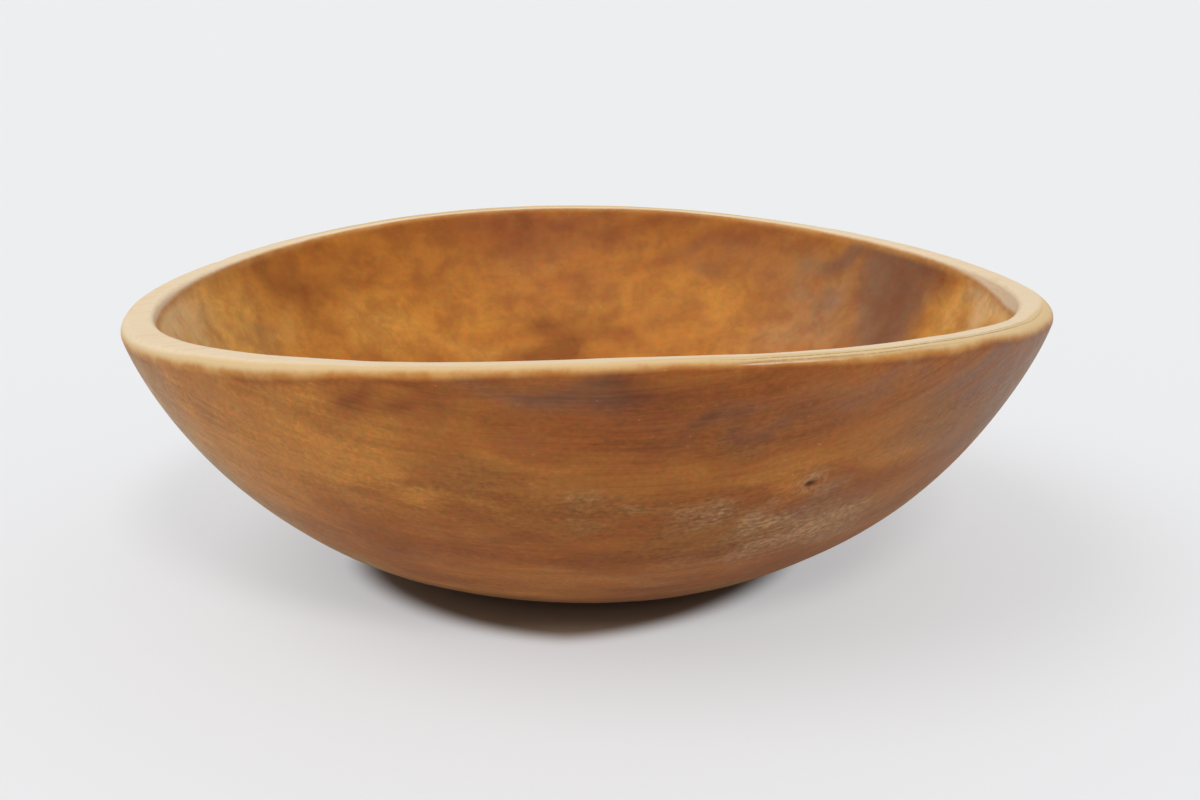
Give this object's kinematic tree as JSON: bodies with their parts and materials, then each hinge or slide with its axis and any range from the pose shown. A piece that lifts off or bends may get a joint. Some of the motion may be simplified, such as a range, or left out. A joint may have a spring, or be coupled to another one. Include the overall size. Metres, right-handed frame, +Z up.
{
  "type": "wooden dough bowl",
  "caption": "Wide round-bottomed bowl turned from one block of wood, dried to an oval with a saddle-shaped, softly worn rim, standing on a flat dished foot.",
  "frame": {"origin": "middle of the foot, at the level of the surface that the bowl stands on", "axes": "+Z up through the open mouth, +X along the wood's grain, which is the long way of the oval rim"},
  "size_m": [0.29, 0.2784, 0.0959],
  "materials": {
    "wood": "old oiled and handled wood, satin, orange-brown, worn pale on the rim"
  },
  "bodies": {
    "root": {"bowl": "wood"}
  },
  "joints": []
}
